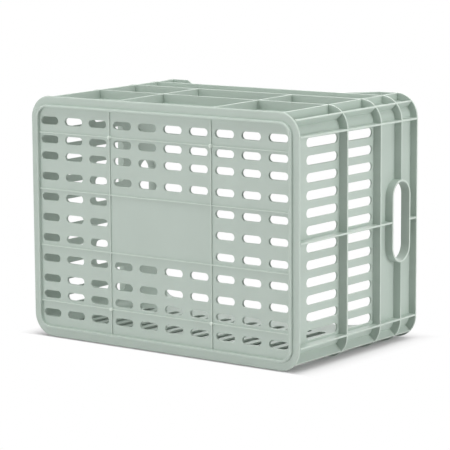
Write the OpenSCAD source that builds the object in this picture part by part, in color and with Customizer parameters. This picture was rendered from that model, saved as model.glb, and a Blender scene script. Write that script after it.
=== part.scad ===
// Stackable storage crate with slotted walls, lying on its rear long wall with its floor in front.
// The crate is one thin-walled moulding, drawn here as the regions that meet in it.
// It is modelled standing on its foot ring with the mouth up, and laid down at the end.
// A section is drawn as distance out from the corner axes (x) against height (y).

/* [Overall] */
// Outer length of the mouth rim
crate_l = 400; // [360:1:460]
// Outer width of the mouth rim
crate_w = 300; // [280:1:340]
// Height from the foot ring to the mouth
crate_h = 254; // [215:1:300]
// Outer corner radius of the mouth rim
corner_r = 28.5; // [26:0.1:36]
// How far the rib edges lean outwards between the foot and the mouth
rib_draft = 2.8; // [1:0.1:4]

/* [Walls and ribs] */
// Thickness of the walls
wall_t = 2.1; // [1.6:0.1:2.8]
// Depth of the ribs outside the wall at the floor
rib_depth_foot = 12.3; // [10.5:0.1:14]
// Depth of the ribs outside the wall at the mouth
rib_depth_mouth = 9.3; // [8:0.1:11]
// Thickness of the upright ribs
rib_t = 2.4; // [1.6:0.1:3.2]
// Distance of the upright ribs on the long walls from the middle
wall_rib_x = 70.7; // [62:0.1:78]
// Thickness of the band ribs that run round the crate
band_t = 2.4; // [1.6:0.1:3.5]
// Distance from the mouth down to the upper band's underside
top_band_drop = 36.9; // [33:0.1:45]
// Distance from the upper band down to the middle one
grip_bay_h = 45.2; // [42:0.1:52]
// Height of the lower band as a share of the middle band's height
low_band_share = 0.588; // [0.5:0.001:0.65]
// Thickness of the mouth rim
rim_t = 2.2; // [1.8:0.1:3]

/* [Wall slots] */
// Width of a wall slot
wall_slot_w = 11; // [7:0.5:13]
// Spacing of the slots in the end walls
end_slot_d = 20.3; // [16:0.1:24]
// Spacing of the slots in the long walls
long_slot_d = 20.2; // [16:0.1:24]
// Height at which the lower row of slots starts
slot_start_z = 36; // [20:0.5:50]
// Plain wall left between a slot and the band above it
slot_gap = 3; // [2:0.1:8]
// Plain wall left between the lower band and the slots above it
slot_lead = 4.6; // [2:0.1:8]
// Plain wall left between a slot's side and a rib
slot_web = 1.5; // [1:0.1:3]

/* [Floor] */
// Thickness of the floor plate
floor_t = 2.5; // [1.8:0.1:3.5]
// Height of the foot ring under the floor
foot_h = 5; // [3:0.1:8]
// Thickness of the foot ring
foot_t = 3.2; // [2:0.1:4.5]
// Clearance of the foot ring inside the mouth of a crate below
stack_gap = 0.4; // [0.2:0.1:1.5]
// Thickness of the base flange round the floor
flange_t = 5.5; // [4.5:0.1:8]
// How far the base flange stands out beyond the rib edges
flange_out = 2.1; // [2:0.1:2.7]
// Rounding of the base flange's outer edges
flange_r = 2; // [0.5:0.1:2]
// Height of the low ribs under the floor
floor_rib_h = 1.6; // [0.5:0.1:2.5]
// Thickness of the low ribs under the floor
floor_rib_t = 1.5; // [0.8:0.1:2.5]
// Distance of the inner lengthwise ribs under the floor from the middle
floor_rib_in_y = 34.9; // [32:0.1:42]
// Distance of the outer lengthwise ribs under the floor from the middle
floor_rib_out_y = 104.3; // [97:0.1:107]

/* [Floor slots] */
// Length of a floor slot
floor_slot_l = 26.3; // [16:0.1:30]
// Width of a floor slot
floor_slot_w = 9.3; // [5:0.1:11]
// Spacing of the floor slots along the crate
floor_slot_dx = 37.5; // [33:0.1:41]
// Columns of floor slots between the cross ribs
columns_inside = 4; // [2:2:6]
// Spacing of the floor slots across the crate
floor_slot_dy = 25.3; // [20:0.1:29]
// Distance from the outer lengthwise rib to the row of slots inside it
row_inside_rib = 8.3; // [7.5:0.1:12]
// Distance from the outer lengthwise rib to the row of slots outside it
row_outside_rib = 14.7; // [9:0.1:18]

/* [Hand holes] */
// Outer length of the collar round a hand hole
grip_l = 100.5; // [80:0.5:120]
// Outer width of the collar round a hand hole
grip_w = 40; // [34:0.1:43]
// Thickness of the collar round a hand hole
collar_t = 2.5; // [1.8:0.1:4]

/* [Mouth dips] */
// Width of the dip in a long wall at the rim
dip_top_l = 292; // [270:1:308]
// Width of the dip in a long wall at the upper band
dip_foot_l = 226; // [200:1:250]
// Rounding of the corners of the dip
dip_r = 7; // [4:0.5:14]

/* [Hidden] */
$fn = 64;
crate_colour = "#b7c4ba";

// Corner axes, which every section turns about
axis_x = crate_l / 2 - corner_r;
axis_y = crate_w / 2 - corner_r;

// Levels from the foot to the mouth
floor_top = foot_h + floor_t;
flange_top = foot_h + flange_t;
top_band_z = crate_h - top_band_drop;
mid_band_z = top_band_z - grip_bay_h;
low_band_z = low_band_share * mid_band_z;
lip_z = top_band_z + band_t;
rim_z = crate_h - rim_t;
grip_z = top_band_z + band_t / 2;
rib_bays = [
    [flange_top, low_band_z],
    [low_band_z + band_t, mid_band_z],
    [mid_band_z + band_t, top_band_z],
    [lip_z, rim_z]
];
slot_bays = [
    [slot_start_z, low_band_z - slot_gap],
    [low_band_z + band_t + slot_lead, mid_band_z - slot_gap]
];

// Distances out from the corner axes at a height: rib edges, outside of the wall, inside of the wall
function edge_r(z) = corner_r - rib_draft * (crate_h - z) / crate_h;
function rib_depth(z) =
    rib_depth_foot + (rib_depth_mouth - rib_depth_foot) * (z - foot_h) / (crate_h - foot_h);
function wall_r(z) = edge_r(z) - rib_depth(z);
function inner_r(z) = wall_r(z) - wall_t;

// The floor ends under the outside of the wall, and the foot ring nests in the mouth of a crate below
floor_r = wall_r(floor_top);
foot_r = inner_r(crate_h) - stack_gap;
foot_inner_r = foot_r - foot_t;

// Slope of the mouth dip, from the rim down to the upper band
dip_run = (dip_top_l - dip_foot_l) / 2;
dip_angle = atan2(crate_h - lip_z, dip_run);

// The crate lies on the base flange and the mouth rim, so it turns a little further than a quarter turn
flange_reach = edge_r(foot_h) + flange_out;
rest_run = crate_h - flange_top + flange_r;
rest_rise = corner_r - flange_reach + flange_r;
lie_angle = atan2(rest_rise, rest_run) - asin(flange_r / norm([rest_run, rest_rise]));
lie_z = crate_w / 2 * cos(lie_angle) - crate_h * sin(lie_angle);
lie_y = (crate_h * cos(lie_angle) + (corner_r - foot_r) * sin(lie_angle)) / 2;

// Length that reaches right through the crate
through = crate_l + crate_w;

// Evenly spaced slots of one width, centred between two rib lines
function slot_places(from, to, spacing, width, edge) =
    let (count = floor((to - from - width - 2 * edge) / spacing) + 1)
    [for (i = [0 : count - 1]) (from + to) / 2 + (i - (count - 1) / 2) * spacing];

wall_edge = rib_t / 2 + slot_web;
end_slots = slot_places(0, axis_y, end_slot_d, wall_slot_w, wall_edge);
mid_slots = slot_places(-wall_rib_x, wall_rib_x, long_slot_d, wall_slot_w, wall_edge);
side_slots = slot_places(wall_rib_x, axis_x, long_slot_d, wall_slot_w, wall_edge);
long_slots = concat(mid_slots, side_slots, -side_slots);

floor_edge = floor_rib_t / 2 + slot_web;
floor_reach = axis_x + foot_inner_r;
side_columns = floor((floor_reach - floor_edge - floor_slot_l / 2) / floor_slot_dx + 1 / 2);
columns = [for (i = [1 : side_columns], side = [-1, 1]) side * (i - 1 / 2) * floor_slot_dx];
floor_rib_x = columns_inside / 2 * floor_slot_dx;
inner_row = floor_rib_out_y - row_inside_rib;
outer_row = floor_rib_out_y + row_outside_rib;
row_count = floor((inner_row - floor_slot_w - slot_web) / floor_slot_dy);
rows = concat([for (i = [-row_count : row_count]) i * floor_slot_dy],
              [inner_row, outer_row, -inner_row, -outer_row]);

// Lays the standing crate on its rear long wall
module laid() {
    color(crate_colour)
    translate([0, -lie_y, lie_z])
    rotate([lie_angle - 90, 0, 0])
    children();
}

// Runs a section along the right end wall
module end_run(from, to) {
    translate([axis_x, to, 0])
    rotate([90, 0, 0])
    linear_extrude(to - from)
    children();
}

// Runs a section along the rear long wall
module long_run(from, to) {
    translate([from, axis_y, 0])
    rotate([90, 0, 90])
    linear_extrude(to - from)
    children();
}

// Turns a section round the rear right corner
module corner_run() {
    translate([axis_x, axis_y, 0])
    rotate_extrude(angle = 90)
    children();
}

// Runs a section round the whole crate
module around() {
    for (turn = [0, 180]) {
        rotate(turn) {
            end_run(-axis_y, axis_y) children();
            long_run(-axis_x, axis_x) children();
            corner_run() children();
            mirror([1, 0, 0]) corner_run() children();
        }
    }
}

// Section of the wall between two heights
module wall_section(low, high) {
    polygon([
        [inner_r(low), low],
        [wall_r(low), low],
        [wall_r(high), high],
        [inner_r(high), high]
    ]);
}

// Section of the rib space outside the wall between two heights
module rib_section(low, high) {
    polygon([
        [wall_r(low), low],
        [edge_r(low), low],
        [edge_r(high), high],
        [wall_r(high), high]
    ]);
}

// Slot outline with round ends, lying along x
module slot_outline(length, width) {
    square([length - width, width], center = true);
    for (side = [-1, 1]) {
        translate([side * (length - width) / 2, 0]) circle(d = width);
    }
}

// Rounded rectangle that follows the corner axes at one distance
module floor_outline(reach) {
    square([2 * (axis_x + reach), 2 * axis_y], center = true);
    square([2 * axis_x, 2 * (axis_y + reach)], center = true);
    for (x = [-axis_x, axis_x], y = [-axis_y, axis_y]) {
        translate([x, y]) circle(reach);
    }
}

// Floor with its slots, left whole in the middle field between the ribs
module floor_plate() {
    laid()
    translate([0, 0, foot_h])
    linear_extrude(floor_t)
    difference() {
        floor_outline(floor_r);
        for (x = columns, y = rows) {
            if (abs(x) > floor_rib_x || abs(y) > floor_rib_in_y) {
                translate([x, y]) slot_outline(floor_slot_l, floor_slot_w);
            }
        }
    }
}

// Low ribs on the underside of the floor, from foot ring to foot ring
module floor_ribs() {
    laid()
    translate([0, 0, foot_h - floor_rib_h])
    linear_extrude(floor_rib_h) {
        for (x = [-floor_rib_x, floor_rib_x]) {
            translate([x, 0]) square([floor_rib_t, 2 * (axis_y + foot_inner_r)], center = true);
        }
        for (y = [floor_rib_in_y, floor_rib_out_y], side = [-1, 1]) {
            translate([0, side * y]) square([2 * (axis_x + foot_inner_r), floor_rib_t], center = true);
        }
    }
}

// Foot that the crate stands on, with a rounded outer edge that leads it into the crate below
module foot_ring() {
    lead_r = foot_t / 2;
    laid()
    around() {
        translate([foot_inner_r, 0]) square([foot_t - lead_r, foot_h]);
        translate([foot_inner_r, lead_r]) square([foot_t, foot_h - lead_r]);
        translate([foot_r - lead_r, lead_r]) circle(lead_r);
    }
}

// Thick flange round the floor, rounded on its outer edges
module base_flange() {
    round_r = flange_reach - flange_r;
    laid()
    around() {
        polygon([
            [floor_r, foot_h],
            [round_r, foot_h],
            [round_r, flange_top],
            [wall_r(flange_top), flange_top],
            [floor_r, floor_top]
        ]);
        translate([round_r, foot_h + flange_r]) square([flange_r, flange_t - 2 * flange_r]);
        for (z = [foot_h + flange_r, flange_top - flange_r]) {
            translate([round_r, z]) circle(flange_r);
        }
    }
}

// Slots of both bays through a wall, drawn across it at the given places
module wall_slots(places) {
    for (place = places, bay = slot_bays) {
        translate([place, (bay[0] + bay[1]) / 2])
        rotate(90)
        slot_outline(bay[1] - bay[0], wall_slot_w);
    }
}

// Slotted part of the right end wall, from the floor to the middle band
module end_panel() {
    difference() {
        end_run(-axis_y, axis_y) wall_section(floor_top, mid_band_z);
        rotate([90, 0, 90]) linear_extrude(through) wall_slots(concat(end_slots, -end_slots));
    }
}

module right_end_panel() laid() end_panel();

module left_end_panel() laid() rotate(180) end_panel();

// Outline of a hand hole, drawn in by a step from the outside of its collar
module grip_outline(step) {
    translate([0, grip_z]) slot_outline(grip_l - 2 * step, grip_w - 2 * step);
}

// Hand hole outline cut right through the right end wall
module grip_cut(step) {
    rotate([90, 0, 90]) linear_extrude(through) grip_outline(step);
}

// Plain upper part of the right end wall, with the hand hole
module grip_panel() {
    difference() {
        end_run(-axis_y, axis_y) wall_section(mid_band_z, crate_h);
        grip_cut(collar_t);
    }
}

module right_grip_panel() laid() grip_panel();

module left_grip_panel() laid() rotate(180) grip_panel();

// Rear long wall with its slots, as high as the upper band
module long_wall() {
    difference() {
        long_run(-axis_x, axis_x) wall_section(floor_top, lip_z);
        rotate([90, 0, 180]) linear_extrude(through) wall_slots(long_slots);
    }
}

module rear_long_wall() laid() long_wall();

module front_long_wall() laid() rotate(180) long_wall();

// Outline of the wall that rises beside the right end of a dip, drawn in by a step from its edge.
// The slope meets the rim in a rounded crest and the upper band in a hollow heel.
module ear_outline(step) {
    lean = tan(dip_angle / 2);
    across = [-sin(dip_angle), cos(dip_angle)];
    crest_r = dip_r - step;
    heel_r = dip_r + step;
    crest = [dip_top_l / 2 + step * lean, crate_h - step] + crest_r * [lean, -1];
    heel = [dip_foot_l / 2 + step * lean, lip_z - step] + heel_r * [-lean, 1];
    difference() {
        union() {
            polygon([
                heel - [0, heel_r],
                [axis_x, lip_z - step],
                [axis_x, crate_h - step],
                crest + [0, crest_r],
                crest + crest_r * across,
                heel - heel_r * across,
                heel
            ]);
            translate(crest) circle(crest_r);
        }
        translate(heel) circle(heel_r);
    }
}

// Wall beside the right end of the dip in the rear long wall
module ear() {
    intersection() {
        long_run(0, axis_x) wall_section(lip_z, crate_h + rim_t);
        rotate([90, 0, 0]) linear_extrude(through, center = true) ear_outline(0);
    }
}

module rear_right_ear() laid() ear();

module rear_left_ear() laid() mirror([1, 0, 0]) ear();

module front_right_ear() laid() mirror([0, 1, 0]) ear();

module front_left_ear() laid() rotate(180) ear();

// Curved wall at the rear right corner
module corner_wall() {
    corner_run() wall_section(floor_top, crate_h);
}

module rear_right_corner() laid() corner_wall();

module rear_left_corner() laid() mirror([1, 0, 0]) corner_wall();

module front_right_corner() laid() mirror([0, 1, 0]) corner_wall();

module front_left_corner() laid() rotate(180) corner_wall();

// Band rib that runs round the crate
module band(z) {
    around() rib_section(z, z + band_t);
}

module lower_band() laid() band(low_band_z);

module middle_band() laid() band(mid_band_z);

// Upper band, which stops at the collars of the hand holes
module upper_band() {
    laid()
    difference() {
        band(top_band_z);
        grip_cut(0);
        rotate(180) grip_cut(0);
    }
}

// Flange along the edge of the wall beside the right end of the rear dip
module ear_rim() {
    intersection() {
        long_run(0, axis_x) rib_section(lip_z, crate_h + rim_t);
        rotate([90, 0, 0])
        linear_extrude(through, center = true)
        difference() {
            ear_outline(0);
            ear_outline(rim_t);
        }
    }
}

// Mouth rim round the right end, running down both dips to the upper band
module rim() {
    end_run(-axis_y, axis_y) rib_section(rim_z, crate_h);
    for (flip = [0, 1]) {
        mirror([0, flip, 0]) {
            corner_run() rib_section(rim_z, crate_h);
            ear_rim();
        }
    }
}

module right_rim() laid() rim();

module left_rim() laid() rotate(180) rim();

// Collar round the hand hole of the right end wall
module grip_collar() {
    intersection() {
        end_run(-grip_l / 2, grip_l / 2) rib_section(grip_z - grip_w / 2, grip_z + grip_w / 2);
        difference() {
            grip_cut(0);
            grip_cut(collar_t);
        }
    }
}

module right_grip_collar() laid() grip_collar();

module left_grip_collar() laid() rotate(180) grip_collar();

// Upright rib in the middle of the right end wall, broken by the bands and the collar
module end_ribs() {
    difference() {
        for (bay = rib_bays) {
            end_run(-rib_t / 2, rib_t / 2) rib_section(bay[0], bay[1]);
        }
        grip_cut(0);
    }
}

module right_end_ribs() laid() end_ribs();

module left_end_ribs() laid() rotate(180) end_ribs();

// Upright ribs of the rear long wall, below the middle band
module wall_ribs() {
    for (x = [-wall_rib_x, wall_rib_x], i = [0, 1]) {
        long_run(x - rib_t / 2, x + rib_t / 2) rib_section(rib_bays[i][0], rib_bays[i][1]);
    }
}

module rear_wall_ribs() laid() wall_ribs();

module front_wall_ribs() laid() rotate(180) wall_ribs();

// Upright ribs of the rear right corner: one where each wall starts to turn and one half way round
module corner_ribs() {
    for (bay = rib_bays) {
        end_run(axis_y - rib_t, axis_y) rib_section(bay[0], bay[1]);
        long_run(axis_x - rib_t, axis_x) rib_section(bay[0], bay[1]);
        intersection() {
            corner_run() rib_section(bay[0], bay[1]);
            translate([axis_x, axis_y, 0])
            rotate(45)
            translate([0, -rib_t / 2, 0])
            cube([corner_r, rib_t, crate_h]);
        }
    }
}

module rear_right_corner_ribs() laid() corner_ribs();

module rear_left_corner_ribs() laid() mirror([1, 0, 0]) corner_ribs();

module front_right_corner_ribs() laid() mirror([0, 1, 0]) corner_ribs();

module front_left_corner_ribs() laid() rotate(180) corner_ribs();

floor_plate();
floor_ribs();
foot_ring();
base_flange();
left_end_panel();
right_end_panel();
left_grip_panel();
right_grip_panel();
front_long_wall();
rear_long_wall();
front_left_ear();
front_right_ear();
rear_left_ear();
rear_right_ear();
front_left_corner();
front_right_corner();
rear_left_corner();
rear_right_corner();
lower_band();
middle_band();
upper_band();
left_rim();
right_rim();
left_grip_collar();
right_grip_collar();
left_end_ribs();
right_end_ribs();
front_wall_ribs();
rear_wall_ribs();
front_left_corner_ribs();
front_right_corner_ribs();
rear_left_corner_ribs();
rear_right_corner_ribs();
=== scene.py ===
import math

import bpy
from mathutils import Matrix, Vector


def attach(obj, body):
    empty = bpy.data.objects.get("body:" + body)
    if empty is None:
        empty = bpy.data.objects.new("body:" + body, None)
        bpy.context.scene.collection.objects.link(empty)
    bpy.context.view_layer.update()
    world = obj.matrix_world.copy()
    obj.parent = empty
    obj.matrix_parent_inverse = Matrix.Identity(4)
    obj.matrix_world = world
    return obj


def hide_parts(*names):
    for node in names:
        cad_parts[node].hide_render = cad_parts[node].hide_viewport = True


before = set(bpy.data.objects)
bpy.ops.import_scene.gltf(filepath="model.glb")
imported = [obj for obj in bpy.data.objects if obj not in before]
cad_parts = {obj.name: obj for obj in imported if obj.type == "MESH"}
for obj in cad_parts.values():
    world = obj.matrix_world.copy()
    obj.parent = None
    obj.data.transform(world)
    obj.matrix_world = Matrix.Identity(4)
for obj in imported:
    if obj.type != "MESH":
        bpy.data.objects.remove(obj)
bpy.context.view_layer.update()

# Floor of the crate: one flat plate of polypropylene, moulded in one shot with the walls.
# Blades in the mould leave the rows of round-ended slots, with softened edges, and the middle
# field between the ribs stays whole. Sizes are in mm, standing on the foot with the mouth up.
scene = bpy.context.scene
crate_l, crate_w, crate_h = 400, 300, 254
corner_r, corner_steps = 28.5, 16
axis_x, axis_y = crate_l / 2 - corner_r, crate_w / 2 - corner_r
foot_h, floor_t, floor_proud = 5, 2.5, 0.8
floor_face = foot_h - floor_proud
floor_reach = 15.2
floor_slot_l, floor_slot_w = 26.8, 9.4
column_pitch, row_pitch = 37.5, 25.2
outer_rows = [-118.5, -95.6, 95.6, 118.5]
slot_columns = [side * (i - 0.5) * column_pitch for i in range(1, 6) for side in (-1, 1)]
slot_rows = [i * row_pitch for i in range(-3, 4)] + outer_rows
middle_x, middle_y = 75, 34.8
quarter = math.pi / 2

# The crate lies on its base flange and mouth rim, so it turns a little past a quarter turn.
# It then moves until the rim touches the ground and the depth from foot to mouth is centred.
lie_angle = math.radians(0.150503)
foot_inset = 11.8
lie_y = (crate_h * math.cos(lie_angle) + foot_inset * math.sin(lie_angle)) / 2
lie_z = crate_w / 2 * math.cos(lie_angle) - crate_h * math.sin(lie_angle)
mm = 0.001
lay = (
    Matrix.Scale(mm, 4)
    @ Matrix.Translation((0, -lie_y, lie_z))
    @ Matrix.Rotation(lie_angle - quarter, 4, "X")
)


def linear(code):
    """Linear colour of an sRGB hex value."""
    parts = [int(code[i : i + 2], 16) / 255 for i in (1, 3, 5)]
    return [c / 12.92 if c <= 0.04045 else ((c + 0.055) / 1.055) ** 2.4 for c in parts] + [1]


def add(tree, kind, ins=None, **settings):
    """Adds a node with its settings and the links or values of its inputs."""
    node = tree.nodes.new(kind)
    for name, value in settings.items():
        setattr(node, name, value)
    for key, value in (ins or {}).items():
        if isinstance(value, bpy.types.NodeSocket):
            tree.links.new(value, node.inputs[key])
        else:
            node.inputs[key].default_value = value
    return node


# Polypropylene, injection moulded in a mould with a fine spark-eroded texture.
# The eye gets a soft pale sage green with a broad dull sheen, a faint cloudiness where the
# pigment flowed, a fine grain, and paler lines on thin rib edges, which are painted highlights.
sage_deep, sage_pale, sage_highlight = linear("#b0bdb4"), linear("#b7c4bb"), linear("#d6e0d7")
highlight_share = 0.4
cloud_mm, grain_mm, grain_depth = 45, 0.9, 0.2
polypropylene = bpy.data.materials.new("moulded_polypropylene")
polypropylene.use_nodes = True
tree = polypropylene.node_tree
shader = tree.nodes["Principled BSDF"]
spot = add(tree, "ShaderNodeTexCoord").outputs["Object"]
cloud = add(tree, "ShaderNodeTexNoise", {
    "Vector": spot, "Scale": 1 / (cloud_mm * mm), "Detail": 3})
tint = add(tree, "ShaderNodeMix", {
    "Factor": cloud.outputs["Fac"], 6: sage_deep, 7: sage_pale}, data_type="RGBA")
# Painted highlight: where the edge attribute is set, a paler sage is mixed into the colour.
edge = add(tree, "ShaderNodeAttribute", attribute_name="edge")
edge_highlight = add(tree, "ShaderNodeMath", {0: edge.outputs["Fac"], 1: highlight_share}, operation="MULTIPLY")
skin = add(tree, "ShaderNodeMix", {
    "Factor": edge_highlight.outputs[0], 6: tint.outputs[2], 7: sage_highlight}, data_type="RGBA")
grain = add(tree, "ShaderNodeTexNoise", {
    "Vector": spot, "Scale": 1 / (grain_mm * mm), "Detail": 2})
dull = add(tree, "ShaderNodeMapRange", {
    "Value": cloud.outputs["Fac"], "To Min": 0.42, "To Max": 0.52})
relief = add(tree, "ShaderNodeBump", {
    "Height": grain.outputs["Fac"], "Strength": 0.12, "Distance": grain_depth * mm})
tree.links.new(skin.outputs[2], shader.inputs["Base Color"])
tree.links.new(dull.outputs["Result"], shader.inputs["Roughness"])
tree.links.new(relief.outputs[0], shader.inputs["Normal"])
shader.inputs["IOR"].default_value = 1.49


def new_piece(name, points, faces=(), edges=(), **attributes):
    """Object with a plain mesh; each attribute holds a number or a vector for every point."""
    mesh = bpy.data.meshes.new(name)
    mesh.from_pydata(points, edges, faces)
    mesh.materials.append(polypropylene)
    for key, values in attributes.items():
        kind = "FLOAT_VECTOR" if hasattr(values[0], "__len__") else "FLOAT"
        data = mesh.attributes.new(key, kind, "POINT").data
        for item, value in zip(data, values):
            if kind == "FLOAT":
                item.value = value
            else:
                item.vector = value
    return bpy.data.objects.new(name, mesh)


def set_out(name, spots, turn=(0, 0, 0)):
    """List of places for a tree, all turned alike."""
    return new_piece(name, spots, turn=[turn] * len(spots))


def loft(name, rows, closed=False, edge=None):
    """Skin over rows of points: each row is a loop, and the ends are capped or joined."""
    count, size = len(rows), len(rows[0])
    faces = []
    for i in range(count if closed else count - 1):
        here, there = i * size, (i + 1) % count * size
        for j in range(size):
            k = (j + 1) % size
            faces.append((here + j, there + j, there + k, here + k))
    if not closed:
        faces.append(tuple(range(size)))
        faces.append(tuple(range(count * size - 1, (count - 1) * size - 1, -1)))
    highlight_marks = {"edge": list(edge) * count} if edge else {}
    return new_piece(name, [point for row in rows for point in row], faces, **highlight_marks)


def slot_blade(name, length, width, depth, lead=0):
    """Mould blade of a slot: x is out of the wall, z along the slot.

    It flares at both faces, runs on past them, and a lead slopes the slot's lower end.
    """
    outer, inner, draft, past, steps = 0.5, 0.3, 0.15, 4, 8
    turns = [math.radians(a) for a in (0, 30, 60, 90)]
    levels = [(past, outer)]
    levels += [(-outer + outer * math.cos(a), outer - outer * math.sin(a)) for a in turns]
    levels += [(-depth + inner - inner * math.cos(a), inner - inner * math.sin(a) - draft)
               for a in reversed(turns)]
    levels.append((-depth - past, inner - draft))
    rows = []
    for x, grow in levels:
        reach = width / 2 + grow
        slope = lead * min(max(-x / depth, 0), 1)
        row = []
        for end, start, shift in ((1, 0, 0), (-1, math.pi, slope)):
            z = end * (length - width) / 2 + shift
            for i in range(steps + 1):
                a = start + math.pi * i / steps
                row.append((x, reach * math.cos(a), z + reach * math.sin(a)))
        rows.append(row)
    return loft(name, rows)


def new_tree(name, *inputs):
    """Geometry Nodes tree with its inputs: returns it, its input node and the identifiers."""
    group = bpy.data.node_groups.new(name, "GeometryNodeTree")
    sockets = group.interface
    sockets.new_socket("Geometry", in_out="OUTPUT", socket_type="NodeSocketGeometry")
    sockets.new_socket("Geometry", in_out="INPUT", socket_type="NodeSocketGeometry")
    keys = {}
    for label, kind in inputs:
        keys[label] = sockets.new_socket(label, in_out="INPUT", socket_type=kind).identifier
    return group, add(group, "NodeGroupInput"), keys


def use_tree(piece, group, keys, **values):
    """Puts a tree on a piece with its named inputs."""
    modifier = piece.modifiers.new(group.name, "NODES")
    for label, value in values.items():
        modifier[keys[label]] = value
    modifier.node_group = group


def finish_tree(group, geometry):
    """Ends a tree in plain geometry with the crate's material."""
    plain = add(group, "GeometryNodeRealizeInstances", {"Geometry": geometry})
    painted = add(group, "GeometryNodeSetMaterial", {
        "Geometry": plain.outputs[0], "Material": polypropylene})
    add(group, "NodeGroupOutput", {0: painted.outputs[0]})


# Tree that presses a blade through a piece at every place of a list, turned as the place says.
cut_tree, ins, cut_keys = new_tree(
    "cut_at_places", ("Blade", "NodeSocketObject"), ("Places", "NodeSocketObject"))
blade = add(cut_tree, "GeometryNodeObjectInfo", {"Object": ins.outputs["Blade"]})
places = add(cut_tree, "GeometryNodeObjectInfo", {"Object": ins.outputs["Places"]})
turn = add(cut_tree, "GeometryNodeInputNamedAttribute", {"Name": "turn"}, data_type="FLOAT_VECTOR")
blades = add(cut_tree, "GeometryNodeInstanceOnPoints", {
    "Points": places.outputs["Geometry"], "Instance": blade.outputs["Geometry"],
    "Rotation": turn.outputs["Attribute"]})
solid = add(cut_tree, "GeometryNodeRealizeInstances", {"Geometry": blades.outputs[0]})
cut = add(cut_tree, "GeometryNodeMeshBoolean", {
    "Mesh 1": ins.outputs["Geometry"], "Mesh 2": solid.outputs[0]},
    operation="DIFFERENCE", solver="MANIFOLD")
finish_tree(cut_tree, cut.outputs["Mesh"])


def settle(piece, *nodes):
    """Makes a piece a plain mesh, lays it where the crate lies and ties it to the frame."""
    sharp_angle = math.radians(35)
    scene.collection.objects.link(piece)
    graph = bpy.context.evaluated_depsgraph_get()
    mesh = bpy.data.meshes.new_from_object(piece.evaluated_get(graph))
    piece.modifiers.clear()
    piece.data = mesh
    mesh.transform(lay)
    mesh.shade_smooth()
    mesh.set_sharp_from_angle(angle=sharp_angle)
    even = piece.modifiers.new("flat_faces_stay_flat", "WEIGHTED_NORMAL")
    even.keep_sharp = True
    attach(piece, "root")
    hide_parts(*nodes)


def outline(reach, z):
    """Points of the rounded rectangle at one distance out from the corner axes."""
    points = []
    for turns, (sx, sy) in enumerate(((1, 1), (-1, 1), (-1, -1), (1, -1))):
        for i in range(corner_steps + 1):
            a = (turns + i / corner_steps) * quarter
            x, y = sx * axis_x + reach * math.cos(a), sy * axis_y + reach * math.sin(a)
            points.append((x, y, z))
    return points


floor_plate = loft("floor", [
    outline(floor_reach, foot_h + floor_t), outline(floor_reach, floor_face)])
floor_spots = [(x, y, floor_face) for x in slot_columns for y in slot_rows
               if abs(x) > middle_x or abs(y) > middle_y]
use_tree(
    floor_plate, cut_tree, cut_keys,
    Blade=slot_blade("floor_slot_blade", floor_slot_l, floor_slot_w, floor_t + floor_proud),
    Places=set_out("floor_slot_places", floor_spots, (0, quarter, 0)))
settle(floor_plate, "floor_plate")

# Low ribs under the floor: two across and four along, moulded with the plate.
# They stiffen it, frame the whole middle field and run from foot ring to foot ring. A small nib
# at four of their crossings is left where the melt came in and the runner was broken off.
floor_rib_h, floor_rib_t, floor_rib_r = 1.6, 1.5, 0.45
floor_rib_reach, floor_rib_out_y = 14.2, 103.8
gate_r, gate_h, gate_soft = 2.2, 3.4, 0.7

# Pieces run into each other, and crossing ribs differ by a step, so that no faces coincide.
bury, crossing_step = 0.8, 0.1

# Edge marks are 0 on plain faces and 1 on rib edges, where they paint a highlight into the colour;
# the nib's mark paints a brighter highlight still.
highlight_marks = [0, 0.3, 0.6, 0.8, 1, 1, 0.8, 0.6, 0.3, 0]
gate_highlight = 2.4

half = floor_rib_t / 2
bend = [math.radians(a) for a in (0, 30, 60, 90)]
right = [
    (half - floor_rib_r + floor_rib_r * math.cos(a),
     -floor_rib_h + floor_rib_r - floor_rib_r * math.sin(a)) for a in bend]
left = [(-across, drop) for across, drop in reversed(right)]
section = [(half, bury)] + right + left + [(-half, bury)]
end = axis_x + floor_rib_reach
rows = [[(x, across, floor_face + drop) for across, drop in section] for x in (-end, end)]
lengthwise = loft("lengthwise_rib", rows, edge=highlight_marks)
end = axis_y + floor_rib_reach
rows = [[(across, y, floor_face + crossing_step + drop) for across, drop in section]
        for y in (end, -end)]
crosswise = loft("crosswise_rib", rows, edge=highlight_marks)
ring = [math.radians(30 * i) for i in range(12)]
levels = ((gate_r, -bury), (gate_r, gate_h - gate_soft), (gate_r - gate_soft, gate_h))
rows = [[(r * math.cos(a), r * math.sin(a), floor_face - drop) for a in ring]
        for r, drop in levels]
gate_nib = loft("gate_nib", rows, edge=[gate_highlight] * len(ring))

# Tree that sets a rib at every place of a list, turned as the place says.
set_tree, ins, set_keys = new_tree(
    "set_at_places", ("Rib", "NodeSocketObject"), ("Places", "NodeSocketObject"))
rib = add(set_tree, "GeometryNodeObjectInfo", {"Object": ins.outputs["Rib"]})
places = add(set_tree, "GeometryNodeObjectInfo", {"Object": ins.outputs["Places"]})
turn = add(set_tree, "GeometryNodeInputNamedAttribute", {"Name": "turn"}, data_type="FLOAT_VECTOR")
ribs = add(set_tree, "GeometryNodeInstanceOnPoints", {
    "Points": places.outputs["Geometry"], "Instance": rib.outputs["Geometry"],
    "Rotation": turn.outputs["Attribute"]})
joined = add(set_tree, "GeometryNodeJoinGeometry", {0: ins.outputs["Geometry"]})
set_tree.links.new(ribs.outputs[0], joined.inputs[0])
finish_tree(set_tree, joined.outputs[0])

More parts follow.
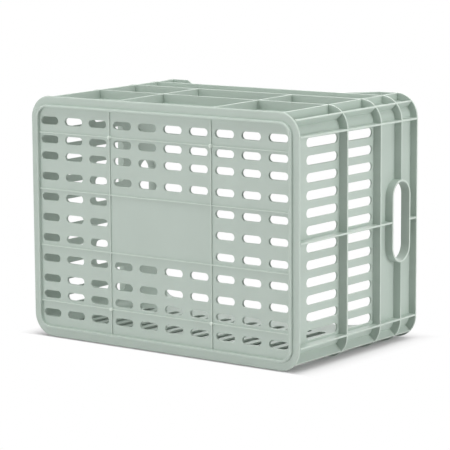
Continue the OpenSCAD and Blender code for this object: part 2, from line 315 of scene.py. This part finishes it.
floor_ribs = new_piece("underside_ribs", [])
spots = [(0, side * y, 0) for y in (middle_y, floor_rib_out_y) for side in (-1, 1)]
use_tree(floor_ribs, set_tree, set_keys, Rib=lengthwise, Places=set_out("lengthwise_places", spots))
spots = [(side * middle_x, 0, 0) for side in (-1, 1)]
use_tree(floor_ribs, set_tree, set_keys, Rib=crosswise, Places=set_out("crosswise_places", spots))
spots = [(sx * middle_x, sy * floor_rib_out_y, 0) for sx in (-1, 1) for sy in (-1, 1)]
use_tree(floor_ribs, set_tree, set_keys, Rib=gate_nib, Places=set_out("gate_places", spots))
settle(floor_ribs, "floor_ribs")

# Base flange and foot ring: the crate stands on the ring, which nests in the mouth of a crate
# below, and the rounded flange above it takes knocks. Each runs round the crate in one piece,
# moulded with the floor.
rib_draft, wall_depth, wall_draft = 2.8, 12.3, 3
flange_t, flange_out, flange_r = 3.5, 2.1, 1.8
flange_root, flange_step, flange_shorter, flange_narrower = 14, 0.2, 1.7, 1.1
back_r, back_inset, back_start = 0.8, 0.6, 20
foot_r, foot_t, foot_soft = 16.4, 3.2, 0.7
tuck = 1


def edge_r(z):
    """Distance of the rib edges out from the corner axes at a height."""
    return corner_r - rib_draft * (crate_h - z) / crate_h


def wall_r(z):
    """Distance of the wall's outside out from the corner axes at a height."""
    return edge_r(z) - wall_depth + wall_draft * (z - foot_h) / (crate_h - foot_h)


def corner(x, z, r, start, highlight_marks):
    """Rounded corner of a section about a centre, turned a quarter from a start angle."""
    turns = [math.radians(start + 90 * i / (len(highlight_marks) - 1)) for i in range(len(highlight_marks))]
    return [(x + r * math.cos(a), z + r * math.sin(a), mark) for a, mark in zip(turns, highlight_marks)]


# Tree that runs a section round the crate: distance out from the corner axes against height.
path_r = 20
round_tree, ins, round_keys = new_tree(
    "run_round_crate", ("Section", "NodeSocketObject"), ("Length", "NodeSocketFloat"),
    ("Width", "NodeSocketFloat"), ("Corner", "NodeSocketFloat"), ("Steps", "NodeSocketInt"))
sides = add(round_tree, "GeometryNodeCurvePrimitiveQuadrilateral", {
    "Width": ins.outputs["Length"], "Height": ins.outputs["Width"]})
path = add(round_tree, "GeometryNodeFilletCurve", {
    "Curve": sides.outputs[0], "Count": ins.outputs["Steps"], "Radius": ins.outputs["Corner"]},
    mode="POLY")
level = add(round_tree, "GeometryNodeSetCurveNormal", {"Curve": path.outputs[0]}, mode="Z_UP")
drawn = add(round_tree, "GeometryNodeObjectInfo", {"Object": ins.outputs["Section"]})
shape = add(round_tree, "GeometryNodeMeshToCurve", {"Mesh": drawn.outputs["Geometry"]})
swept = add(round_tree, "GeometryNodeCurveToMesh", {
    "Curve": level.outputs[0], "Profile Curve": shape.outputs[0]})
finish_tree(round_tree, swept.outputs[0])


def run_round(name, section, shorter=0, narrower=0):
    """Piece that carries a section of (distance, height, edge mark) points round the crate."""
    count, section = len(section), section[::-1]
    drawing = new_piece(
        name + "_section", [(r - path_r, -z, 0) for r, z, _ in section],
        edges=[(i, (i + 1) % count) for i in range(count)],
        edge=[mark for _, _, mark in section])
    piece = new_piece(name, [])
    use_tree(
        piece, round_tree, round_keys, Section=drawing,
        Length=2.0 * (axis_x + path_r - shorter), Width=2.0 * (axis_y + path_r - narrower),
        Corner=float(path_r), Steps=corner_steps)
    return piece


flange_reach = edge_r(foot_h) + flange_out
flange_top = foot_h + flange_t
flange_face = floor_face - flange_step
# Edge marks paint highlights along the flange's rounded edges.
section = [(flange_root, flange_face, 0)]
section += corner(
    flange_reach - flange_r, flange_face + flange_r, flange_r, -90, (0, 0.2, 0.4, 0.6, 0.5))
section += corner(
    edge_r(flange_top) - back_inset, flange_top - back_r, back_r, back_start, (0.4, 0.2, 0, 0))
section += [(wall_r(flange_top) - tuck, flange_top, 0), (flange_root, foot_h + tuck, 0)]
settle(run_round("edge_flange", section, flange_shorter, flange_narrower), "base_flange")

foot_inner_r, foot_lead = foot_r - foot_t, foot_t / 2
# Edge marks paint a faint highlight round the foot ring's edges.
section = [(foot_inner_r, foot_h + bury, 0)]
section += corner(
    foot_inner_r + foot_soft, foot_soft, foot_soft, 180, (0, 0.2, 0.4, 0.3, 0.2))
section += corner(foot_r - foot_lead, foot_lead, foot_lead, -90, (0.2, 0.2, 0.1, 0, 0))
section += [(foot_r, foot_h + bury, 0)]
settle(run_round("nesting_ring", section), "foot_ring")

# Walls: one thin sheet that runs round the crate in a single moulding and leans out to the mouth.
# Blades leave two rows of upright slots in every side, a hand hole in each end, and a shallow dip
# with rounded corners in the top of each long side.
wall_t, band_t, rim_t = 2.1, 2.4, 2.2
low_band, mid_band, top_band = 101.08, 171.9, 217.1
lip_z = top_band + band_t
slot_start, slot_rise, slot_gap = 35.7, 4.6, 3
wall_slot_w, wall_slot_pitch, wall_slot_lead = 11, 20.2, 1.2
end_group_y, side_group_x = 60.4, 121.1
slot_bays = [
    (slot_start, low_band - slot_gap), (low_band + band_t + slot_rise, mid_band - slot_gap)]
end_slots = [side * (end_group_y + (i - 2.5) * wall_slot_pitch)
             for i in range(6) for side in (-1, 1)]
long_slots = [i * wall_slot_pitch for i in range(-3, 4)]
long_slots += [side * (side_group_x + i * wall_slot_pitch)
               for i in range(-2, 3) for side in (-1, 1)]
grip_l, grip_w, grip_z, grip_lap = 100.5, 40, top_band + band_t / 2, 2.2
dip_top_l, dip_foot_l, dip_r, dip_lap, dip_past = 292, 226, 7, 1, 10
wall_lean = math.atan(rib_draft / crate_h + wall_draft / (crate_h - foot_h))


def inner_r(z):
    """Distance of the wall's inside out from the corner axes at a height."""
    return wall_r(z) - wall_t


def on_side(turn, along, out, z):
    """Point on a side of the crate: 0 and 2 quarter turns are the ends, 1 and 3 the long sides."""
    c, s = round(math.cos(turn)), round(math.sin(turn))
    return (c * (axis_x + out) - s * along, s * (axis_y + out) + c * along, z)


def dip_edge(step):
    """Right half of a dip from rim to upper band, a step inside the wall, with its slope."""
    slope = math.atan2(crate_h - lip_z, (dip_top_l - dip_foot_l) / 2)
    lean, crest_r, heel_r = math.tan(slope / 2), dip_r - step, dip_r + step
    crest_x, crest_z = dip_top_l / 2 + (step + crest_r) * lean, crate_h - step - crest_r
    heel_x, heel_z = dip_foot_l / 2 + (step - heel_r) * lean, lip_z - step + heel_r
    turns = [slope * i / 6 for i in range(7)]
    points = [(crest_x - crest_r * math.sin(a), crest_z + crest_r * math.cos(a), a)
              for a in turns]
    points += [(heel_x + heel_r * math.sin(a), heel_z - heel_r * math.cos(a), a)
               for a in reversed(turns)]
    return points


def grip_places(name, out, lean):
    """Places of the two hand holes, at a distance out from the corner axes."""
    spots = [on_side(turn, 0, out, grip_z) for turn in (0, math.pi)]
    return new_piece(name, spots, turn=[(quarter, lean, 0), (quarter, lean, math.pi)])


low, high = foot_h + tuck, crate_h - tuck
walls = run_round("walls", [
    (inner_r(low), low, 0), (wall_r(low), low, 0),
    (wall_r(high), high, 0), (inner_r(high), high, 0)])
for row, (start, stop) in enumerate(slot_bays):
    z = (start + stop) / 2
    spots, turns = [], []
    for side in range(4):
        for along in long_slots if side % 2 else end_slots:
            spots.append(on_side(side * quarter, along, wall_r(z), z))
            turns.append((0, wall_lean, side * quarter))
    use_tree(
        walls, cut_tree, cut_keys,
        Blade=slot_blade(
            "wall_slot_blade_%d" % row, stop - start, wall_slot_w, wall_t, wall_slot_lead),
        Places=new_piece("wall_slot_places_%d" % row, spots, turn=turns))
use_tree(
    walls, cut_tree, cut_keys,
    Blade=slot_blade("grip_blade", grip_l - 2 * grip_lap, grip_w - 2 * grip_lap, wall_t),
    Places=grip_places("grip_places", wall_r(grip_z), wall_lean))
right = [(x, z) for x, z, _ in dip_edge(dip_lap)]
right.insert(0, (right[0][0], crate_h + dip_past))
left = [(-x, z) for x, z in reversed(right)]
use_tree(
    walls, cut_tree, cut_keys,
    Blade=loft("dip_blade", [[(x, y, z) for x, z in right + left] for y in (crate_w, -crate_w)]),
    Places=set_out("dip_place", [(0, 0, 0)]))
settle(
    walls, "left_end_panel", "right_end_panel", "left_grip_panel", "right_grip_panel",
    "front_long_wall", "rear_long_wall", "front_left_ear", "front_right_ear",
    "rear_left_ear", "rear_right_ear", "front_left_corner", "front_right_corner",
    "rear_left_corner", "rear_right_corner")

# Bands: three flat ribs that stand out from the wall and run right round the crate.
# They are moulded with it, keep the thin sides from bulging, and have softened outer edges.
edge_soft = 0.6
band_inset = 0.15
grip_gap, gap_start, gap_depth = 1.2, 1, 18


def band(name, z, inside):
    """Band with its underside at a height, from a distance inside the wall to the rib edge."""
    r = edge_r(z + band_t / 2) - edge_soft
    section = [(inside, z, 0)]
    # Edge marks paint highlights on the band's rounded outer edges.
    section += corner(r, z + edge_soft, edge_soft, -90, (0.3, 0.7, 1, 1))
    section += corner(r, z + band_t - edge_soft, edge_soft, 0, (1, 1, 0.7, 0.3))
    return run_round(name, section + [(inside, z + band_t, 0)])


settle(band("band_low", low_band, wall_r(low_band) - bury), "lower_band")
settle(band("band_middle", mid_band, wall_r(mid_band) - bury), "middle_band")
upper_band = band("band_high", top_band, inner_r(top_band) + band_inset)
use_tree(
    upper_band, cut_tree, cut_keys,
    Blade=slot_blade("grip_gap_blade", grip_l - 2 * grip_gap, grip_w - 2 * grip_gap, gap_depth),
    Places=grip_places("grip_gap_places", edge_r(grip_z) + gap_start, 0))
settle(upper_band, "upper_band")

# Mouth rim: a flat flange round each end of the mouth, which bends down both dips and runs
# out in the upper band. It is moulded with the wall, and its edges are softened.
rim_tail, rim_sunk, rim_inner_soft = 8, 0.5, 0.4
rim_w = edge_r(crate_h) - inner_r(crate_h)

# Section: how far in from the rim's outer edge, how far below its face, and the edge mark that
# paints a highlight.
# A small rounding has one point in its middle, which is cut back by a share of its radius.
bevel = 0.3
turns = [quarter * i / 3 for i in range(4)]
section = [(rim_w, rim_t, 0), (rim_w, rim_inner_soft, 0)]
section += [(rim_w - rim_inner_soft * bevel, rim_inner_soft * bevel, 0.3)]
section += [(rim_w - rim_inner_soft, 0, 0.2)]
section += [(edge_soft - edge_soft * math.sin(a), edge_soft - edge_soft * math.cos(a), 0.3 + a)
            for a in turns]
low_edge = rim_t - edge_soft
section += [(edge_soft - edge_soft * math.cos(a), low_edge + edge_soft * math.sin(a), 1 - a)
            for a in turns]

# Stations of one half: up the dip's edge on the long side, then round the corner to the end.
stations = [(True, x, z, a, 0) for x, z, a in reversed(dip_edge(0))]
stations.insert(0, (True, stations[0][1] - rim_tail, lip_z - rim_sunk, 0, 0))
stations += [(False, 0, crate_h, 0, quarter * (1 - i / corner_steps))
             for i in range(corner_steps + 1)]
halves = [(1, station) for station in stations]
halves += [(-1, station) for station in reversed(stations)]
for end, mirror in (("right", 1), ("left", -1)):
    rows = []
    for half, (on_dip, x, z, slope, turn) in halves:
        row = []
        for inset, depth, _ in section:
            height = z - depth * math.cos(slope)
            r = inner_r(height) + (1 - inset / rim_w) * (edge_r(height) - inner_r(height))
            if on_dip:
                point_x, point_y = x + depth * math.sin(slope), axis_y + r
            else:
                point_x, point_y = axis_x + r * math.cos(turn), axis_y + r * math.sin(turn)
            row.append((mirror * point_x, mirror * half * point_y, height))
        rows.append(row)
    rim = loft("mouth_rim_" + end, rows, edge=[mark for _, _, mark in section])
    settle(rim, end + "_rim")

# Collars: a rounded lip that lines each hand hole and stands out as far as the ribs.
# It is moulded with the end wall, so that the fingers close on a smooth edge.
collar_t, collar_proud, collar_soft = 2.5, 0.15, 0.6
lip_bevel, lip_drop = 0.09, bevel * edge_soft
collar_past, collar_inset, collar_taper = 0.05, 0.3, 0.45
tip_steps = 24

# Lip: how far in from the hole's outer line, what it is measured from and how far out of that,
# and the edge mark that paints a highlight.
lip = [
    (0, wall_r, -bury, 0),
    (0, edge_r, collar_proud - edge_soft, 0.3),
    (lip_bevel, edge_r, collar_proud - lip_drop, 0.7),
    (collar_soft, edge_r, collar_proud, 1),
    (collar_t - collar_soft, edge_r, collar_proud, 1),
    (collar_t - lip_bevel, edge_r, collar_proud - lip_drop, 0.7),
    (collar_t, edge_r, collar_proud - edge_soft, 0.3),
    (collar_t, inner_r, -collar_past, 0),
    (collar_t - collar_taper, inner_r, collar_inset, 0),
]
turns = [math.pi * i / tip_steps - quarter for i in range(tip_steps + 1)]
tips = [(1, a) for a in turns] + [(-1, a + math.pi) for a in turns]
for end, mirror in (("right", 1), ("left", -1)):
    rows = []
    for tip, a in tips:
        row = []
        for inset, base, out, _ in lip:
            reach = grip_w / 2 - inset
            y = tip * (grip_l - grip_w) / 2 + reach * math.cos(a)
            z = grip_z + reach * math.sin(a)
            row.append((mirror * (axis_x + base(z) + out), mirror * y, z))
        rows.append(row)
    collar = loft(
        "hand_hole_collar_" + end, rows, closed=True, edge=[mark for _, _, _, mark in lip])
    settle(collar, end + "_grip_collar")

# Upright ribs: thin blades between the bands at the middle of each end, on the long sides and
# three to a corner. They are moulded with the wall and carry stacked crates down to the flange.
rib_t, rib_back, wall_rib_x = 2.4, 0.12, 70.7
rim_z = crate_h - rim_t
rib_bays = [
    (flange_top, low_band), (low_band + band_t, mid_band), (mid_band + band_t, top_band),
    (lip_z, rim_z)]
short_bays = [(mid_band + band_t, grip_z - grip_w / 2), (grip_z + grip_w / 2, rim_z)]


def upright(name, low, high):
    """Rib that stands out along x between two heights, a little inside the bands' edges."""
    rows = []
    for z in (low - bury, high + bury):
        out, root, r, half = edge_r(z) - rib_back, wall_r(z) - bury, edge_soft, rib_t / 2
        right = [(out - r + r * math.cos(a), half - r + r * math.sin(a)) for a in reversed(bend)]
        left = [(x, -y) for x, y in reversed(right)]
        rows.append([(x, y, z) for x, y in [(root, half)] + right + left + [(root, -half)]])
    # Edge marks paint highlights on the rib's rounded outer edge.
    return loft(name, rows, edge=[0, 0.3, 0.7, 1, 1, 1, 1, 0.7, 0.3, 0])


def rib_places(name, spots):
    """Rib places on the corner axes: across and along the crate, with the turn of the rib."""
    return new_piece(
        name, [(x, y, 0) for x, y, _ in spots], turn=[(0, 0, a) for _, _, a in spots])


end_spots = [(axis_x, 0, 0), (-axis_x, 0, math.pi)]
side_spots = [(x, side * axis_y, side * quarter)
              for x in (-wall_rib_x, wall_rib_x) for side in (-1, 1)]
corner_spots = []
for sx in (-1, 1):
    for sy in (-1, 1):
        end_turn, side_turn = 0 if sx > 0 else math.pi, sy * quarter
        corner_spots.append((sx * axis_x, sy * (axis_y - rib_t / 2), end_turn))
        corner_spots.append((sx * (axis_x - rib_t / 2), sy * axis_y, side_turn))
        corner_spots.append((sx * axis_x, sy * axis_y, math.atan2(sy, sx)))
upright_ribs = new_piece("upright_ribs", [])
for i, (low, high) in enumerate(rib_bays):
    spots = corner_spots + (end_spots + side_spots if i < 2 else [])
    use_tree(upright_ribs, set_tree, set_keys, Rib=upright("rib_%d" % i, low, high),
             Places=rib_places("rib_places_%d" % i, spots))
for i, (low, high) in enumerate(short_bays):
    use_tree(upright_ribs, set_tree, set_keys, Rib=upright("short_rib_%d" % i, low, high),
             Places=rib_places("short_rib_places_%d" % i, end_spots))
settle(
    upright_ribs, "left_end_ribs", "right_end_ribs", "front_wall_ribs", "rear_wall_ribs",
    "front_left_corner_ribs", "front_right_corner_ribs", "rear_left_corner_ribs",
    "rear_right_corner_ribs")

# Studio floor: a wide sheet of white paper under the crate, with its sizes in metres.
# It keeps the crate's soft shadow near it; painted white light covers that shadow a little way out
# from each side and under the mouth, and lifts the shade under the crate a little.
scene.view_settings.view_transform = "Standard"
paper_reach = 3
paper_colour = linear("#f2eff1")

# For each side, where painted white starts to cover the shadow and over what distance, and then
# where the shade under the crate turns to full painted white, with the share of it in the shade.
painted_white_fades = [("X", 1, 0.17, 0.055), ("X", -1, 0.185, 0.045),
         ("Y", 1, 0.105, 0.06), ("Y", -1, 0.117, 0.009)]
shade_x, full_white_x = 0.17, 0.14
shade_y, full_white_y, painted_white_in_shade = 0.06, 0.11, 0.12


def seen(tree):
    """Node that is 1 for what the camera sees, directly or in a reflection, and 0 for lighting."""
    path = add(tree, "ShaderNodeLightPath")
    node = add(tree, "ShaderNodeMath", {
        0: path.outputs["Is Camera Ray"], 1: path.outputs["Is Glossy Ray"]}, operation="MAXIMUM")
    return add(tree, "ShaderNodeMath", {
        0: node.outputs[0], 1: path.outputs["Is Transmission Ray"]}, operation="MAXIMUM")


corners = [(sx * paper_reach, sy * paper_reach, 0)
           for sx, sy in ((-1, -1), (1, -1), (1, 1), (-1, 1))]
studio_floor = new_piece("studio_floor", corners, [(0, 1, 2, 3)])
scene.collection.objects.link(studio_floor)
paper = bpy.data.materials.new("paper_with_painted_white")
paper.use_nodes = True
tree = paper.node_tree
tree.nodes.clear()
spot = add(tree, "ShaderNodeSeparateXYZ", {0: add(tree, "ShaderNodeTexCoord").outputs["Object"]})
# Painted white: ramps of emitted white over the paper, which cover the shadow out from each side.
clear = None
for axis, side, start, reach in painted_white_fades:
    way = add(tree, "ShaderNodeMath", {
        0: spot.outputs[axis], 1: side / reach, 2: -start / reach}, operation="MULTIPLY_ADD")
    if clear:
        way = add(tree, "ShaderNodeMath", {
            0: clear.outputs[0], 1: way.outputs[0]}, operation="MAXIMUM")
    clear = way
outer = add(tree, "ShaderNodeMapRange", {
    "Value": clear.outputs[0]}, interpolation_type="SMOOTHSTEP")
under = add(tree, "ShaderNodeMapRange", {
    "Value": spot.outputs["X"], "From Min": shade_x, "From Max": full_white_x})
inside = add(tree, "ShaderNodeMapRange", {
    "Value": spot.outputs["Y"], "From Min": shade_y, "From Max": full_white_y, "To Min": painted_white_in_shade})
inner = add(tree, "ShaderNodeMath", {
    0: under.outputs["Result"], 1: inside.outputs["Result"]}, operation="MULTIPLY")
painted_white_share = add(tree, "ShaderNodeMath", {
    0: outer.outputs["Result"], 1: inner.outputs[0]}, operation="MAXIMUM")
painted_white_share = add(tree, "ShaderNodeMath", {
    0: painted_white_share.outputs[0], 1: seen(tree).outputs[0]}, operation="MULTIPLY")
diffuse = add(tree, "ShaderNodeBsdfDiffuse", {"Color": paper_colour})
white = add(tree, "ShaderNodeEmission", {"Strength": 1.0})
# Painted light: white emission, seen by the camera and in reflections, mixed over the lit paper.
blend = add(tree, "ShaderNodeMixShader", {
    0: painted_white_share.outputs[0], 1: diffuse.outputs[0], 2: white.outputs[0]})
add(tree, "ShaderNodeOutputMaterial", {"Surface": blend.outputs[0]})
studio_floor.data.materials.clear()
studio_floor.data.materials.append(paper)

# Studio room: plain white walls all round, far behind the paper.
# They show as white wherever the camera looks past it, and give the crate only a faint fill light.
fill_level = 0.03
world = bpy.data.worlds.new("studio")
scene.world = world
world.use_nodes = True
tree = world.node_tree
tree.nodes.clear()
level = add(tree, "ShaderNodeMapRange", {"Value": seen(tree).outputs[0], "To Min": fill_level})
light = add(tree, "ShaderNodeBackground", {
    "Color": (1, 1, 1, 1), "Strength": level.outputs[0]})
add(tree, "ShaderNodeOutputWorld", {"Surface": light.outputs[0]})

# Softboxes: square white lamps on a dome round the crate, all aimed at its middle.
# The low ones light the crate's floor and right end evenly, and the high ones its upper side.
dome_r, softbox_size = 2.4, 1.3
crate_middle = Vector((0, 0, 0.15))


def direction(azimuth, elevation):
    """Way out from the crate in degrees; azimuth 0 is in front of its floor and 90 to the right."""
    a, e = math.radians(azimuth), math.radians(elevation)
    return Vector((math.sin(a) * math.cos(e), -math.cos(a) * math.cos(e), math.sin(e)))


for name, azimuth, elevation, power in (
        ("front_softbox", -15, 20, 8),
        ("front_low_softbox", -15, 6, 17.5),
        ("left_softbox", -45, 60, 16),
        ("top_softbox", 60, 75, 30),
        ("right_low_softbox", 98, 4, 21),
        ("right_softbox", 94, 18, 15.5),
        ("back_softbox", -160, 35, 20)):
    lamp = bpy.data.lights.new(name, "AREA")
    lamp.shape = "SQUARE"
    lamp.size = softbox_size
    lamp.energy = power
    softbox = bpy.data.objects.new(name, lamp)
    out = direction(azimuth, elevation)
    softbox.location = crate_middle + dome_r * out
    softbox.rotation_euler = out.to_track_quat("Z", "Y").to_euler()
    scene.collection.objects.link(softbox)

# Camera: a long lens, well back and a little above the crate, to the right of its floor.
# Its place is given as the way out from the point it looks at, in degrees and metres.
view_azimuth, view_elevation, view_roll = 36.25, 8.801, -0.225
view_distance, view_aim = 2.63533, Vector((0.0036, 0.00056, 0.13915))
camera = bpy.data.objects.new("camera", bpy.data.cameras.new("camera"))
camera.data.lens = 172.841
camera.data.sensor_width = 36
camera.data.clip_start, camera.data.clip_end = 0.1, 100
out = direction(view_azimuth, view_elevation)
roll = Matrix.Rotation(math.radians(view_roll), 4, "Z")
turn = out.to_track_quat("Z", "Y").to_matrix().to_4x4() @ roll
camera.matrix_world = Matrix.Translation(view_aim + view_distance * out) @ turn
scene.collection.objects.link(camera)
scene.camera = camera
